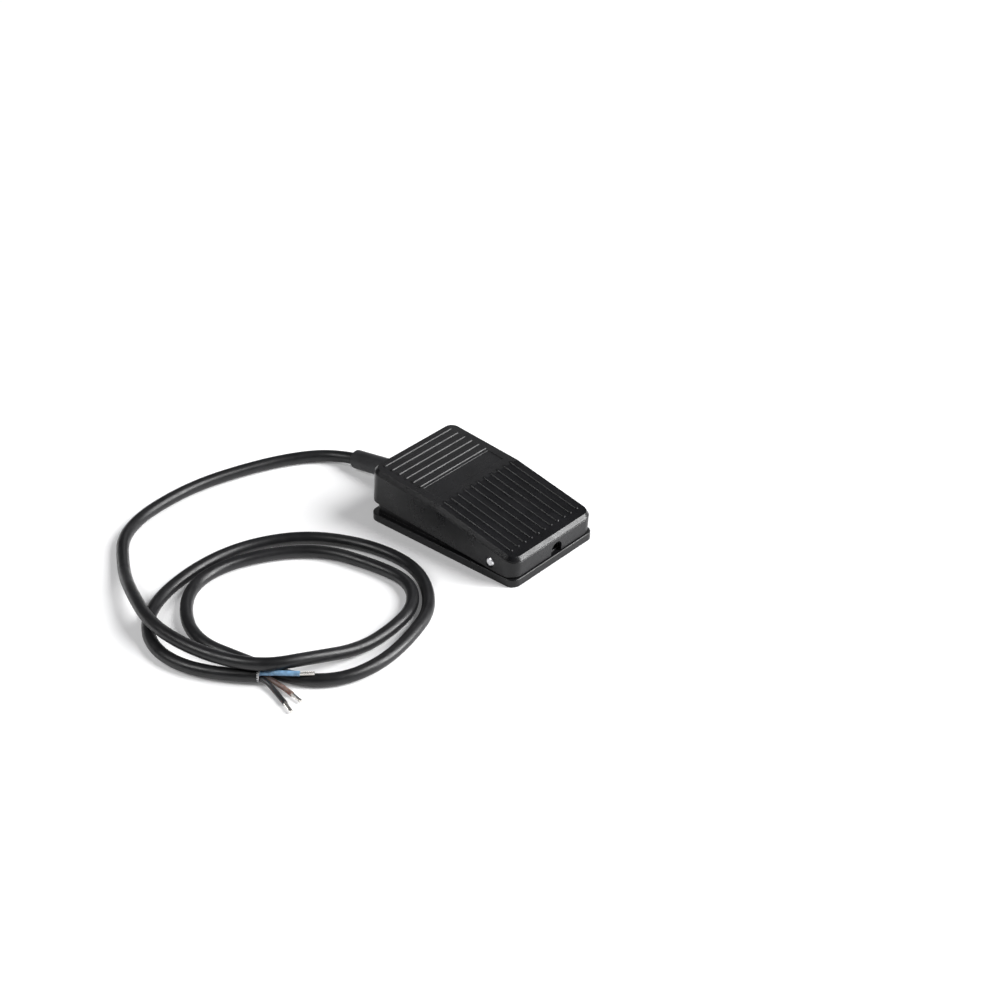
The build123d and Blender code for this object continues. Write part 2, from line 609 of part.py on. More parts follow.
def lug_thickness():
    """Thickness of a lug beside the lever."""
    return (SWITCH_THICKNESS - LEVER_WIDTH) / 2 - LEVER_CLEARANCE


def switch_half(x0, x1, lug_x):
    """Slice of the microswitch's body with its mounting holes, plunger guide and lever lug."""
    half = block(x0, x1, SWITCH_START, SWITCH_END, SWITCH_BOTTOM, SWITCH_TOP)
    half = chamfer(half.edges().filter_by(Axis.X), SWITCH_BREAK)
    y0, y1 = LEVER_PIVOT_Y - LUG_WIDTH / 2, LEVER_PIVOT_Y + LUG_WIDTH / 2
    half += block(lug_x, lug_x + lug_thickness(), y0, y1, SWITCH_TOP - JOIN, LEVER_PIVOT_Z)
    half += rod_x(LEVER_PIVOT_Y, LEVER_PIVOT_Z, LUG_WIDTH / 2, lug_x, lug_x + lug_thickness())
    half -= rod_x(LEVER_PIVOT_Y, LEVER_PIVOT_Z, AXLE_DIAMETER / 2, x0 - CUT, x1 + CUT)
    for y, z in switch_holes():
        half -= rod_x(y, z, SWITCH_SCREW_DIAMETER / 2 + SCREW_CLEARANCE / 2, x0 - CUT, x1 + CUT)
    return half - plunger_guide()


def plunger_y():
    """Middle of the plunger along Y."""
    return LEVER_PIVOT_Y - PLUNGER_FROM_HINGE


def plunger_guide():
    """Pocket in the microswitch's top that the plunger slides in."""
    half = PLUNGER_WIDTH / 2 + PLUNGER_FIT
    y = plunger_y()
    return block(SWITCH_X - half, SWITCH_X + half, y - half, y + half, SWITCH_TOP - PLUNGER_POCKET, TOP_REACH)


def switch_plunger():
    """Square plunger with a broken edge under the lever."""
    half = PLUNGER_WIDTH / 2
    y = plunger_y()
    top = LEVER_PIVOT_Z + (PLUNGER_FROM_HINGE - half) * tan(radians(LEVER_REST)) - PLUNGER_GAP
    body = block(SWITCH_X - half, SWITCH_X + half, y - half, y + half, top - PLUNGER_LENGTH, top)
    return chamfer(body.faces().sort_by(Axis.Z)[-1].edges(), PLUNGER_BREAK)


def switch_lever():
    """Spring-steel lever with a rolled eye, resting raised above the plunger."""
    half = LEVER_WIDTH / 2
    x0, x1 = SWITCH_X - half, SWITCH_X + half
    blade = block(
        x0, x1, LEVER_PIVOT_Y - LEVER_LENGTH, LEVER_PIVOT_Y, LEVER_PIVOT_Z, LEVER_PIVOT_Z + LEVER_THICKNESS
    )
    blade = fillet(blade.edges().filter_by(Axis.Z).group_by(Axis.Y)[0], half / 2)
    body = blade + rod_x(LEVER_PIVOT_Y, LEVER_PIVOT_Z, LEVER_EYE_DIAMETER / 2, x0, x1)
    body -= rod_x(LEVER_PIVOT_Y, LEVER_PIVOT_Z, AXLE_DIAMETER / 2 + AXLE_FIT, x0 - CUT, x1 + CUT)
    return body.rotate(Axis((0, LEVER_PIVOT_Y, LEVER_PIVOT_Z), (1, 0, 0)), -LEVER_REST)


def lever_axle():
    """Tiny axle of the lever, held in the two lugs."""
    half = SWITCH_THICKNESS / 2
    return rod_x(LEVER_PIVOT_Y, LEVER_PIVOT_Z, AXLE_DIAMETER / 2, SWITCH_X - half, SWITCH_X + half)


def switch_screws():
    """The microswitch's two screws, through its body into the bracket."""
    length = SWITCH_THICKNESS + BRACKET_WALL
    one = screw(SWITCH_SCREW_DIAMETER, SWITCH_SCREW_HEAD, SWITCH_SCREW_HEAD_HEIGHT, length)
    return [Pos(SWITCH_X + SWITCH_THICKNESS / 2, y, z) * Rot(0, 90, 0) * one for y, z in switch_holes()]


def terminal_y(index):
    """Y of a terminal: common nearest the pivot, then normally closed, then normally open."""
    return (SWITCH_START + SWITCH_END) / 2 + (index - 1) * TERMINAL_PITCH


def terminal(index):
    """Flat blade under the microswitch with an eye for the wire."""
    y = terminal_y(index)
    half_x, half_y = TERMINAL_THICKNESS / 2, TERMINAL_WIDTH / 2
    bottom = SWITCH_BOTTOM - TERMINAL_DROP
    blade = block(SWITCH_X - half_x, SWITCH_X + half_x, y - half_y, y + half_y, bottom, SWITCH_BOTTOM)
    blade = chamfer(blade.edges().filter_by(Axis.X).group_by(Axis.Z)[0], TERMINAL_WIDTH / 4)
    return blade - rod_x(y, SOLDER_HEIGHT, STRAND_DIAMETER / 2, SWITCH_X - CUT, SWITCH_X + CUT)


def foot(x, y):
    """Rubber foot, pressed into its recess and standing proud of the tray."""
    disc = post(x, y, FOOT_DIAMETER / 2, 0, TRAY_BOTTOM + FOOT_RECESS)
    return chamfer(disc.edges().group_by(Axis.Z)[0], FOOT_BREAK)


def bend_radii(points):
    """Bend radius at each inner point of a route, from its shorter neighbouring run."""
    radii = []
    for before, here, after in zip(points, points[1:], points[2:]):
        arriving, leaving = Vector(here) - Vector(before), Vector(after) - Vector(here)
        reach = BEND_SHARE * min(arriving.length, leaving.length)
        radii.append(reach / tan(radians(arriving.get_angle(leaving) / 2)))
    return radii


def tube(points, diameter):
    """Round tube along straight runs joined by arcs."""
    path = FilletPolyline(*points, radius=bend_radii(points))
    return sweep(Plane(origin=path @ 0, z_dir=path % 0) * Circle(diameter / 2), path=path), path.length


def cord():
    """The cord's jacket, from the clamp to its cut end."""
    jacket, length = tube(CORD_ROUTE, CORD_DIAMETER)
    radii = bend_radii(CORD_ROUTE)
    solid_volume = CORD_DIAMETER**2 * pi / 4 * length
    print("cord length", round(length, 1), "expected volume", round(solid_volume), "built", round(jacket.volume))
    print("bend radii", [round(radius) for radius in radii])
    return jacket


def strain_relief():
    """Rubber boot: collar inside the wall, neck in its slot, shoulder outside, long drooping sleeve."""
    inside = UPSTAND_REAR - UPSTAND_WALL
    body = rod_y(0, EXIT_HEIGHT, COLLAR_DIAMETER / 2, inside - COLLAR_LENGTH, inside)
    body += rod_y(0, EXIT_HEIGHT, SLOT_WIDTH / 2 - NECK_PLAY, inside - JOIN, UPSTAND_REAR + SHOULDER_LENGTH)
    shoulder = UPSTAND_REAR + SHOULDER_GAP
    body += rod_y(0, EXIT_HEIGHT, BOOT_ROOT_DIAMETER / 2, shoulder, shoulder + SHOULDER_LENGTH)
    start, end = Vector(CORD_ROUTE[1]), Vector(CORD_ROUTE[3])
    droop = (end - start).normalized()
    root = start + droop * (shoulder + SHOULDER_LENGTH / 2 - start.Y)
    sleeve = Cone(BOOT_ROOT_DIAMETER / 2, BOOT_TIP_DIAMETER / 2, BOOT_LENGTH, align=FROM_FOOT)
    sleeve = chamfer(sleeve.edges().group_by(Axis.Z)[-1], BOOT_BREAK)
    body += Plane(origin=root, z_dir=droop) * sleeve
    bore, _ = tube(CORD_ROUTE[:6], CORD_DIAMETER + 2 * CORD_CLEARANCE)
    return body - bore


def core_offset(index):
    """Place of a core in the cord's section: across, and up."""
    angle = radians(90 + 120 * index)
    return CORE_PITCH_RADIUS * cos(angle), CORE_PITCH_RADIUS * sin(angle)


def free_core(index, colour):
    """Core that stands out of the cord's cut end, and its stripped strands."""
    end, before = Vector(CORD_ROUTE[-1]), Vector(CORD_ROUTE[-2])
    ahead = (end - before).normalized()
    aside = Vector(-ahead.Y, ahead.X, 0)
    across, up = core_offset(index)
    via = [Vector(point) for point in FREE_CORES[colour]]
    start = end + aside * across + Vector(0, 0, up)
    core, _ = tube([start, start + ahead * CORE_OUT, *via], CORE_DIAMETER)
    strands = Plane(origin=via[-1], z_dir=via[-1] - via[-2]) * Cylinder(
        STRAND_DIAMETER / 2, FREE_BARE, align=FROM_FOOT
    )
    return core, strands


def inner_core(index, colour):
    """Core from the clamp to its terminal, and its solder joint."""
    across, up = core_offset(index)
    x, y, z = CORD_ROUTE[0]
    blade_face = SWITCH_X + TERMINAL_THICKNESS / 2
    terminal_place = Vector(blade_face, terminal_y(TERMINAL_OF_CORE[colour]), SOLDER_HEIGHT)
    insulation_end = terminal_place + Vector(LEAD_BARE, 0, 0)
    start = Vector(x - across, y, z + up)
    via = [Vector(x, CLAMP_Y + y, z) for x, y, z in INNER_CORES[colour]]
    leaving = start - Vector(0, CORE_OUT, 0)
    arriving = insulation_end + Vector(LEAD_IN, 0, 0)
    core, _ = tube([start, leaving, *via, arriving, insulation_end], CORE_DIAMETER)
    joint = rod_x(terminal_place.Y, SOLDER_HEIGHT, STRAND_DIAMETER / 2, terminal_place.X, insulation_end.X)
    blob = Cone(SOLDER_DIAMETER / 2, STRAND_DIAMETER / 2, SOLDER_LENGTH, align=FROM_FOOT)
    return core, joint + Plane(origin=terminal_place, z_dir=(1, 0, 0)) * blob


def main():
    """Write every node."""
    nodes = {
        "base": base(),
        "pedal": pedal(),
        "hinge_pin_left": hinge_pin(-1),
        "hinge_pin_right": hinge_pin(1),
        "return_spring": return_spring(),
        "cord_clamp": cord_clamp(),
        "clamp_screws": Compound(children=clamp_screws()),
        "switch_case": switch_case(),
        "switch_cover": switch_cover(),
        "switch_plunger": switch_plunger(),
        "switch_lever": switch_lever(),
        "lever_axle": lever_axle(),
        "switch_screws": Compound(children=switch_screws()),
        "terminal_common": terminal(0),
        "terminal_normally_closed": terminal(1),
        "terminal_normally_open": terminal(2),
        "strain_relief": strain_relief(),
        "cord": cord(),
        "foot_front_left": foot(-FOOT_X, -FOOT_Y),
        "foot_front_right": foot(FOOT_X, -FOOT_Y),
        "foot_rear_left": foot(-FOOT_X, FOOT_Y),
        "foot_rear_right": foot(FOOT_X, FOOT_Y),
    }
    for index, colour in enumerate(("blue", "black", "brown")):
        nodes[f"free_core_{colour}"], nodes[f"free_strands_{colour}"] = free_core(index, colour)
        nodes[f"inner_core_{colour}"], nodes[f"solder_joint_{colour}"] = inner_core(index, colour)
    for name, shape in nodes.items():
        export_step(shape, f"parts/{name}.step")


main()
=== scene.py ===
import json
import math

import bmesh
import bpy
from mathutils import Matrix, Vector


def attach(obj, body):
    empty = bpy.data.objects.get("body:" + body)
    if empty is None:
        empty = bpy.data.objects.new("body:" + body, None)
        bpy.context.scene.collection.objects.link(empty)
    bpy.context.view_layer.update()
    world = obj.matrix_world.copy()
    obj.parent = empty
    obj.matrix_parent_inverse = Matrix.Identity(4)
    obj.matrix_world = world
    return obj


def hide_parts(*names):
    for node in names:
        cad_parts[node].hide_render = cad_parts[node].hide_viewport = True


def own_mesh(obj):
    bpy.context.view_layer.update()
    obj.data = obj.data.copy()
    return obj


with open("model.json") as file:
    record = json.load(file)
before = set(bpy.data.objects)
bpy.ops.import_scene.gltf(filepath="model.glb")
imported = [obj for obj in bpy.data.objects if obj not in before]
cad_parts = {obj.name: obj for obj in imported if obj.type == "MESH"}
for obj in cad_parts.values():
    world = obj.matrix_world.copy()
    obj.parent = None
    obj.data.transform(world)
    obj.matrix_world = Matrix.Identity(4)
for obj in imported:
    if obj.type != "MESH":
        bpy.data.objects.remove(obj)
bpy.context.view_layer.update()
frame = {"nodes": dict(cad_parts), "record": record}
cadNodes = frame["nodes"]
scene = bpy.context.scene
print("frame loaded")

# camera, fitted to the corners of the base in the photo
cameraSetup = {
    "place": (-0.65949, -0.58898, 0.58378),
    "ahead": (0.63419, 0.55370, -0.53965),
    "lens": 73.0,
    "sensor": 36.0,
    "farthest": 30.0,
}
cameraData = bpy.data.cameras.new("viewCamera")
cameraData.lens = cameraSetup["lens"]
cameraData.sensor_width = cameraSetup["sensor"]
cameraData.clip_end = cameraSetup["farthest"]
camera = bpy.data.objects.new("viewCamera", cameraData)
camera.location = cameraSetup["place"]
camera.rotation_mode = "QUATERNION"
camera.rotation_quaternion = Vector(cameraSetup["ahead"]).to_track_quat("-Z", "Y")
scene.collection.objects.link(camera)
scene.camera = camera
scene.view_settings.view_transform = "Standard"
print("camera placed")


# helpers for meshes and curves
def addPiece(name, data, material, body="base"):
    piece = bpy.data.objects.new(name, data)
    scene.collection.objects.link(piece)
    piece.data.materials.append(material)
    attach(piece, body)
    return piece


def smoothCurve(name, points, radius, roundness, steps):
    curve = bpy.data.curves.new(name, "CURVE")
    curve.dimensions = "3D"
    curve.bevel_depth = radius
    curve.bevel_resolution = roundness
    curve.resolution_u = steps
    curve.use_fill_caps = True
    spline = curve.splines.new("NURBS")
    spline.points.add(len(points) - 1)
    for point, place in zip(spline.points, points):
        point.co = (*place, 1.0)
    spline.order_u = 3
    spline.use_endpoint_u = True
    return curve


def finishMesh(name, build, smoothAngle=40.0):
    bmesh.ops.recalc_face_normals(build, faces=build.faces)
    for face in build.faces:
        face.smooth = True
    for edge in build.edges:
        if len(edge.link_faces) == 2 and edge.calc_face_angle() > math.radians(smoothAngle):
            edge.smooth = False
    mesh = bpy.data.meshes.new(name)
    build.to_mesh(mesh)
    build.free()
    return mesh


def standOn(build, start, direction):
    # turns what was built along +Z to a direction, with its foot at start
    turn = Vector((0, 0, 1)).rotation_difference(Vector(direction)).to_matrix().to_4x4()
    placed = Matrix.Translation(Vector(start)) @ turn
    bmesh.ops.transform(build, matrix=placed, verts=build.verts)


# stands a section that was drawn flat upright, ready to be spun about Z
upright = Matrix.Rotation(math.radians(90), 3, "X")


# helpers for materials
def newMaterial(name, colour, roughness, metallic=0.0, specular=0.5):
    material = bpy.data.materials.new(name)
    material.use_nodes = True
    tree = material.node_tree
    shader = tree.nodes["Principled BSDF"]
    shader.inputs["Base Color"].default_value = (*colour, 1.0)
    shader.inputs["Roughness"].default_value = roughness
    shader.inputs["Metallic"].default_value = metallic
    shader.inputs["Specular IOR Level"].default_value = specular
    material.diffuse_color = (*colour, 1.0)
    return material, tree, shader


def noiseField(tree, scale, detail=2.0, stretch=(1.0, 1.0, 1.0)):
    where = tree.nodes.new("ShaderNodeTexCoord")
    mapping = tree.nodes.new("ShaderNodeMapping")
    mapping.inputs["Scale"].default_value = stretch
    noise = tree.nodes.new("ShaderNodeTexNoise")
    noise.inputs["Scale"].default_value = scale
    noise.inputs["Detail"].default_value = detail
    tree.links.new(where.outputs["Object"], mapping.inputs["Vector"])
    tree.links.new(mapping.outputs["Vector"], noise.inputs["Vector"])
    return noise.outputs["Fac"]


def shadeBetween(tree, shader, field, dark, light, low=0.35, high=0.65):
    ramp = tree.nodes.new("ShaderNodeValToRGB")
    ramp.color_ramp.elements[0].position = low
    ramp.color_ramp.elements[0].color = (*dark, 1.0)
    ramp.color_ramp.elements[1].position = high
    ramp.color_ramp.elements[1].color = (*light, 1.0)
    tree.links.new(field, ramp.inputs["Fac"])
    tree.links.new(ramp.outputs["Color"], shader.inputs["Base Color"])


def roughBetween(tree, shader, field, smoothest, roughest, low=0.3, high=0.7):
    spread = tree.nodes.new("ShaderNodeMapRange")
    spread.inputs["From Min"].default_value = low
    spread.inputs["From Max"].default_value = high
    spread.inputs["To Min"].default_value = smoothest
    spread.inputs["To Max"].default_value = roughest
    tree.links.new(field, spread.inputs["Value"])
    tree.links.new(spread.outputs["Result"], shader.inputs["Roughness"])


def bumpFrom(tree, shader, field, height):
    bump = tree.nodes.new("ShaderNodeBump")
    bump.inputs["Distance"].default_value = height
    bump.inputs["Strength"].default_value = 1.0
    tree.links.new(field, bump.inputs["Height"])
    earlier = shader.inputs["Normal"].links
    if earlier:
        tree.links.new(earlier[0].from_socket, bump.inputs["Normal"])
    tree.links.new(bump.outputs["Normal"], shader.inputs["Normal"])


def softEdges(tree, shader, radius, samples):
    # the moulding's small edge radii, as the light sees them
    bevel = tree.nodes.new("ShaderNodeBevel")
    bevel.samples = samples
    bevel.inputs["Radius"].default_value = radius
    tree.links.new(bevel.outputs["Normal"], shader.inputs["Normal"])


def scaled(colour, factor):
    return tuple(channel * factor for channel in colour)


# moulded plastics
mouldedTexture = {
    "clouds": 60.0, "cloudDetail": 4.0, "dark": 0.82, "light": 1.25,
    "wear": 140.0, "wearDetail": 5.0, "smoother": 0.06, "rougher": 0.07,
    "edgeSamples": 16,
}
plastics = {
    "pedal_plastic": {
        "colour": (0.0062, 0.0062, 0.0070), "rough": 0.29, "shine": 0.27,
        "grain": 1900.0, "grainDepth": 4.5e-5, "edge": 3.5e-4,
    },
    "tray_plastic": {
        "colour": (0.0060, 0.0060, 0.0066), "rough": 0.31, "shine": 0.27,
        "grain": 1900.0, "grainDepth": 4e-5, "edge": 4e-4,
    },
    "clamp_plastic": {
        "colour": (0.020, 0.020, 0.021), "rough": 0.50, "shine": 0.4,
        "grain": 2200.0, "grainDepth": 2e-5, "edge": 3e-4,
    },
    "switch_plastic": {
        "colour": (0.012, 0.012, 0.013), "rough": 0.46, "shine": 0.4,
        "grain": 2600.0, "grainDepth": 2e-5, "edge": 2e-4,
    },
    "switch_lid_plastic": {
        "colour": (0.022, 0.022, 0.025), "rough": 0.44, "shine": 0.4,
        "grain": 2600.0, "grainDepth": 2e-5, "edge": 2e-4,
    },
    "plunger_plastic": {
        "colour": (0.46, 0.035, 0.025), "rough": 0.24, "shine": 0.5,
        "grain": 1500.0, "grainDepth": 4e-6, "edge": 1e-4,
    },
}


def mouldedPlastic(name, settings):
    look = mouldedTexture
    colour, rough = settings["colour"], settings["rough"]
    material, tree, shader = newMaterial(name, colour, rough, specular=settings["shine"])
    clouds = noiseField(tree, look["clouds"], look["cloudDetail"])
    shadeBetween(tree, shader, clouds, scaled(colour, look["dark"]), scaled(colour, look["light"]))
    wear = noiseField(tree, look["wear"], look["wearDetail"])
    roughBetween(tree, shader, wear, rough - look["smoother"], rough + look["rougher"])
    softEdges(tree, shader, settings["edge"], look["edgeSamples"])
    bumpFrom(tree, shader, noiseField(tree, settings["grain"]), settings["grainDepth"])
    return material


# rubbers and the cord's sheath
rubberTexture = {
    "clouds": 90.0, "cloudDetail": 5.0, "dark": 0.8, "light": 1.35,
    "wear": 220.0, "wearDetail": 4.0, "smoother": 0.08, "rougher": 0.08,
    "grainDetail": 3.0, "shine": 0.38, "bloomRough": 0.5,
}
rubbers = {
    "boot_rubber": {
        "colour": (0.020, 0.020, 0.022), "rough": 0.50,
        "grain": 1800.0, "grainDepth": 6e-5, "bloom": 0.03,
    },
    "cord_jacket": {
        "colour": (0.010, 0.010, 0.0108), "rough": 0.36,
        "grain": 1500.0, "grainDepth": 5e-5, "bloom": 0.0,
    },
    "foot_rubber": {
        "colour": (0.018, 0.018, 0.018), "rough": 0.70,
        "grain": 1500.0, "grainDepth": 5e-5, "bloom": 0.05,
    },
}


def softRubber(name, settings):
    look = rubberTexture
    colour, rough = settings["colour"], settings["rough"]
    material, tree, shader = newMaterial(name, colour, rough, specular=look["shine"])
    clouds = noiseField(tree, look["clouds"], look["cloudDetail"])
    shadeBetween(tree, shader, clouds, scaled(colour, look["dark"]), scaled(colour, look["light"]))
    wear = noiseField(tree, look["wear"], look["wearDetail"])
    roughBetween(tree, shader, wear, rough - look["smoother"], rough + look["rougher"])
    grain = noiseField(tree, settings["grain"], look["grainDetail"])
    bumpFrom(tree, shader, grain, settings["grainDepth"])
    shader.inputs["Sheen Weight"].default_value = settings["bloom"]
    shader.inputs["Sheen Roughness"].default_value = look["bloomRough"]
    return material


# the cores' insulation
insulationTexture = {
    "clouds": 420.0, "cloudDetail": 5.0, "dark": 0.78, "light": 1.25,
    "grain": 1600.0, "grainDepth": 2e-5, "glow": 0.04,
}
insulations = {
    "insulation_blue": {"colour": (0.155, 0.290, 0.450), "rough": 0.42},
    "insulation_black": {"colour": (0.020, 0.020, 0.022), "rough": 0.38},
    "insulation_brown": {"colour": (0.165, 0.112, 0.095), "rough": 0.42},
}


def coreInsulation(name, settings):
    look = insulationTexture
    colour = settings["colour"]
    material, tree, shader = newMaterial(name, colour, settings["rough"])
    clouds = noiseField(tree, look["clouds"], look["cloudDetail"])
    shadeBetween(tree, shader, clouds, scaled(colour, look["dark"]), scaled(colour, look["light"]))
    bumpFrom(tree, shader, noiseField(tree, look["grain"]), look["grainDepth"])
    shader.inputs["Subsurface Weight"].default_value = look["glow"]
    return material


# metals, with fine streaks
metalTexture = {
    "clouds": 300.0, "cloudDetail": 4.0, "dark": 0.88, "light": 1.04,
    "brushDetail": 3.0, "smoother": 0.06, "rougher": 0.10,
}
metals = {
    "pin_steel": {
        "colour": (0.80, 0.80, 0.82), "rough": 0.30,
        "brush": 2500.0, "stretch": (0.1, 1, 1), "brushDepth": 6e-6,
    },
    "spring_steel": {
        "colour": (0.52, 0.53, 0.56), "rough": 0.34,
        "brush": 900.0, "stretch": (1, 1, 0.3), "brushDepth": 4e-6,
    },
    "zinc_screw": {
        "colour": (0.66, 0.67, 0.70), "rough": 0.28,
        "brush": 1500.0, "stretch": (1, 1, 1), "brushDepth": 4e-6,
    },
    "lever_steel": {
        "colour": (0.70, 0.70, 0.71), "rough": 0.26,
        "brush": 1800.0, "stretch": (1, 0.1, 1), "brushDepth": 4e-6,
    },
    "terminal_brass": {
        "colour": (0.74, 0.66, 0.46), "rough": 0.32,
        "brush": 1400.0, "stretch": (1, 1, 0.2), "brushDepth": 4e-6,
    },
    "tinned_copper": {
        "colour": (0.70, 0.68, 0.65), "rough": 0.30,
        "brush": 2600.0, "stretch": (1, 1, 1), "brushDepth": 6e-6,
    },
    "solder": {
        "colour": (0.58, 0.58, 0.60), "rough": 0.38,
        "brush": 1600.0, "stretch": (1, 1, 1), "brushDepth": 1e-5,
    },
}


def plainMetal(name, settings):
    look = metalTexture
    colour, rough = settings["colour"], settings["rough"]
    material, tree, shader = newMaterial(name, colour, rough, metallic=1.0)
    clouds = noiseField(tree, look["clouds"], look["cloudDetail"])
    shadeBetween(tree, shader, clouds, scaled(colour, look["dark"]), scaled(colour, look["light"]))
    streaks = noiseField(tree, settings["brush"], look["brushDetail"], settings["stretch"])
    roughBetween(tree, shader, streaks, rough - look["smoother"], rough + look["rougher"])
    bumpFrom(tree, shader, streaks, settings["brushDepth"])
    return material


materials = {}
for makeMaterial, family in (
    (mouldedPlastic, plastics),
    (softRubber, rubbers),
    (coreInsulation, insulations),
    (plainMetal, metals),
):
    materials.update({name: makeMaterial(name, settings) for name, settings in family.items()})

for part in frame["record"]["subparts"]:
    node = cadNodes[part["node"]]
    node.data.materials.clear()
    node.data.materials.append(materials[part["material_slot"]])
print("materials made")

# the lead, which follows the solid cord's route
lead = {
    "diameter": 0.0065,
    "length": 1.10,
    "exit": (0.0, 0.048, 0.012),
    "roundness": 7,
    "steps": 14,
    "route": [  # from the clamp inside to the cut end, in millimetres
        (0, 30, 12), (0, 48, 12), (0, 72, 8.7), (0, 96, 4.6),
        (-10, 114, 3.3), (-37, 129, 3.3), (-79, 141, 3.3), (-127, 136, 3.3),
        (-152, 106, 3.6), (-167, 80, 9.1), (-178, 54, 10.5), (-179, 31, 10.1),
        (-175, 8, 10.1), (-166, -13, 11.2), (-147, -23, 9.9), (-120.5, -30, 3.3),
        (-97, -30, 3.3), (-77.5, -25, 3.3), (-64.6, -10.5, 3.3), (-64, 10, 3.3),
        (-73, 48, 3.3), (-110, 72, 3.3), (-143, 70, 3.3), (-168, 38, 3.3),
        (-162, 2, 3.3), (-157, -24, 3.3), (-143, -40, 3.3), (-122, -45, 3.3),
        (-98, -41.5, 3.3), (-71.5, -32, 3.3), (-51.3, -3.5, 3.3), (-54, 33, 3.3),
        (-73, 65, 3.3), (-111, 82, 3.3), (-161, 75, 3.3), (-186, 48, 3.3),
        (-183.5, 12.5, 3.4), (-166.8, -9.5, 4.2),
    ],
}
route = [Vector(point) / 1000 for point in lead["route"]]
jacketCurve = smoothCurve(
    "leadJacket", route, lead["diameter"] / 2, lead["roundness"], lead["steps"]
)
jacket = addPiece("leadJacket", jacketCurve, materials["cord_jacket"])
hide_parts("cord")
print("lead laid")

# the ring at the lead's cut end, in the jacket's mouth, its outer face cut a little askew; its
# light grey colour is a painted highlight along the cut edge
cutRing = {
    "width": 0.0010,
    "sunk": 0.0006,
    "inside": 0.00003,
    "proud": 0.0010,
    "slant": 0.28,
    "facets": 48,
    # light grey, with the dark and light tones below: painted highlight on the cut edge
    "colour": (0.42, 0.42, 0.43),
    "dark": (0.28, 0.28, 0.29),
    "light": (0.60, 0.60, 0.61),
    "rough": 0.75,
    "shine": 0.3,
    "clouds": 1500.0,
    "cloudDetail": 4.0,
    "grain": 3000.0,
    "grainDetail": 3.0,
    "grainDepth": 6e-5,
}
cutPlace = route[-1]
cutAhead = (route[-1] - route[-2]).normalized()


def buildCutRim():
    build = bmesh.new()
    bmesh.ops.create_circle(build, radius=math.sqrt(0.5), segments=4)
    square = upright @ Matrix.Rotation(math.radians(45), 3, "Z")
    bmesh.ops.rotate(build, cent=(0, 0, 0), matrix=square, verts=build.verts)
    bmesh.ops.scale(build, vec=(cutRing["width"], 1, cutRing["sunk"]), verts=build.verts)
    middle = lead["diameter"] / 2 - cutRing["inside"] - cutRing["width"] / 2
    bmesh.ops.translate(build, vec=(middle, 0, -cutRing["sunk"] / 2), verts=build.verts)
    bmesh.ops.spin(
        build, geom=build.edges[:] + build.verts[:], cent=(0, 0, 0), axis=(0, 0, 1),
        angle=math.tau, steps=cutRing["facets"], use_merge=True,
    )
    outermost = [vert for vert in build.verts if vert.co.z > -cutRing["sunk"] / 2]
    standOn(build, cutPlace, cutAhead)
    across = cutAhead.cross(Vector((0, 0, 1))).normalized()
    for vert in outermost:
        askew = cutRing["slant"] * (vert.co - cutPlace).dot(across)
        vert.co += cutAhead * (cutRing["proud"] - askew)
    return finishMesh("leadCutRim", build)


def cutSheathPaintedHighlight():
    # the ring's light grey colour paints the highlight along the cut edge
    look = cutRing
    material, tree, shader = newMaterial(
        "cutSheathPaintedHighlight", look["colour"], look["rough"], specular=look["shine"]
    )
    clouds = noiseField(tree, look["clouds"], look["cloudDetail"])
    shadeBetween(tree, shader, clouds, look["dark"], look["light"])
    grain = noiseField(tree, look["grain"], look["grainDetail"])
    bumpFrom(tree, shader, grain, look["grainDepth"])
    return material


cutPaintedHighlightMaterial = cutSheathPaintedHighlight()
cutRim = addPiece("leadCutRim", buildCutRim(), cutPaintedHighlightMaterial)

# the three loose cores: control points, and the tip of the bare strands, in millimetres
cores = {
    "diameter": 0.0025,
    "roundness": 5,
    "steps": 12,
    "blue": {
        "points": [
            (-166.8, -9.5, 5.6), (-164.9, -12.0, 5.9), (-163.6, -16.0, 7.2),
            (-161.0, -21.0, 8.2), (-156.4, -26.4, 8.0),
        ],
        "tip": (-151.5, -31.2, 7.8),
    },
    "black": {
        "points": [
            (-167.8, -10.3, 3.5), (-166.3, -12.8, 3.2),
            (-167.4, -20.5, 1.5), (-170.8, -31.0, 1.5),
        ],
        "tip": (-173.1, -37.7, 1.4),
    },
    "brown": {
        "points": [
            (-165.8, -8.7, 3.5), (-164.3, -11.4, 3.1),
            (-163.0, -19.5, 1.6), (-164.0, -28.6, 1.5),
        ],
        "tip": (-164.9, -35.5, 1.4),
    },
}
twist = {
    "wires": 11,
    "radius": 0.0009,
    "groove": 0.2,
    "steps": 40,
    "turn": 260.0,
    "sunk": 0.0008,
    "facets": 8,
}


def buildStrands(name, start, tip):
    along = tip - start
    length = along.length + twist["sunk"]
    build = bmesh.new()
    bmesh.ops.create_circle(
        build, cap_ends=True, radius=twist["radius"], segments=twist["wires"] * twist["facets"]
    )
    for vert in build.verts:
        angle = math.atan2(vert.co.y, vert.co.x)
        vert.co *= 1 - twist["groove"] * (1 - abs(math.sin(twist["wires"] * angle / 2)))
    bmesh.ops.spin(
        build, geom=build.faces[:] + build.edges[:] + build.verts[:], cent=(0, 0, 0),
        axis=(0, 0, 1), dvec=(0, 0, length / twist["steps"]),
        angle=math.radians(twist["turn"]), steps=twist["steps"],
    )
    standOn(build, start - along.normalized() * twist["sunk"], along)
    return finishMesh(name, build)


